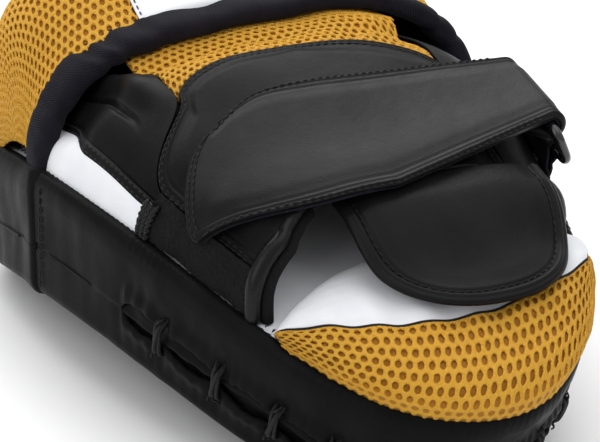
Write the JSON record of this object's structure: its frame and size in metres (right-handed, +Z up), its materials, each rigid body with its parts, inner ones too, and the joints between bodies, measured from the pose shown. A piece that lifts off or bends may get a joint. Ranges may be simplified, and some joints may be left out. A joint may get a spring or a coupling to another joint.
{
  "type": "focus mitt",
  "caption": "Curved padded striking mitt with a domed hand glove, mesh finger hood, wrist strap on a side ring, padded wrist cushion, liftable wrist flap and a laced slot in its side wall",
  "frame": {"origin": "centre of the bounding box's bottom face, on the plane that the mitt lies on, strike face down", "axes": "+Y runs along the mitt towards the fingers, +Z points up out of its back, +X points to the side that carries the strap's ring"},
  "size_m": [0.193, 0.2814, 0.1276],
  "materials": {
    "white_leather": "smooth grained, semi-gloss",
    "black_leather": "fine grained, semi-gloss",
    "gold_mesh": "spacer mesh with oval holes",
    "black_fabric": "plain woven",
    "binding": "twill woven tape",
    "velour": "looped pile",
    "cord": "waxed",
    "ring_plastic": "glossy",
    "foam": "closed-cell foam"
  },
  "bodies": {
    "mitt": {"back_panel": "white_leather", "foam_back_layer": "foam", "foam_core": "foam", "foam_strike_layer": "foam", "strike_cover": "black_leather", "wall_finger_end": "black_leather", "wall_wrist": "black_leather", "slot_tongue": "black_leather", "lace_tie_1": "cord", "lace_tie_2": "cord", "lace_tie_3": "cord", "lace_tie_4": "cord", "lace_tie_5": "cord", "lace_tie_6": "cord", "lace_tie_7": "cord", "lace_tie_8": "cord", "lace_tie_9": "cord", "lace_tie_10": "cord", "lace_tie_11": "cord", "lace_tie_12": "cord", "wrist_cushion_cover": "white_leather", "wrist_cushion_mesh": "gold_mesh", "wrist_cushion_foam": "foam", "hood_mesh_near": "gold_mesh", "hood_centre_panel": "white_leather", "hood_mesh_far": "gold_mesh", "hood_foam": "foam", "hood_lining": "black_fabric", "hood_binding": "binding", "glove_padding": "foam", "glove_lining": "black_fabric", "hand_back_panel": "black_leather", "knuckle_mesh": "gold_mesh", "side_panel_near": "black_leather", "side_panel_far": "black_leather", "gusset_near": "white_leather", "gusset_far": "white_leather", "loop_patch": "velour", "mouth_piping_near": "black_leather", "mouth_piping_far": "black_leather", "ring_tab": "binding", "wrist_flap_root": "black_leather"},
    "ring": {"ring": "ring_plastic"},
    "strap": {"strap_cover": "black_leather", "strap_lining": "black_fabric"},
    "strap_tip": {"strap_tip_cover": "black_leather", "strap_tip_lining": "black_fabric", "hook_patch": "velour"},
    "flap": {"wrist_flap": "black_leather", "wrist_flap_lining": "black_leather"}
  },
  "joints": [
    {"name": "ring_swing", "type": "hinge", "parent": "mitt", "child": "ring", "pos_m": [0.0792, -0.02943, 0.08922], "axis": [0.1414, 0.988, 0.0628], "range_deg": [0, 25]},
    {"name": "strap_swing", "type": "hinge", "parent": "ring", "child": "strap", "pos_m": [0.0725, -0.0293, 0.10227], "axis": [0.1414, 0.988, 0.0628], "range_deg": [0, 120]},
    {"name": "strap_tip_peel", "type": "hinge", "parent": "strap", "child": "strap_tip", "pos_m": [-0.04535, -0.04881, 0.10173], "axis": [-0.1336, 0.9705, 0.2006], "range_deg": [0, 60]},
    {"name": "flap_lift", "type": "hinge", "parent": "mitt", "child": "flap", "pos_m": [0.017, -0.07461, 0.09466], "axis": [-1, 0, 0], "range_deg": [0, 60]}
  ]
}
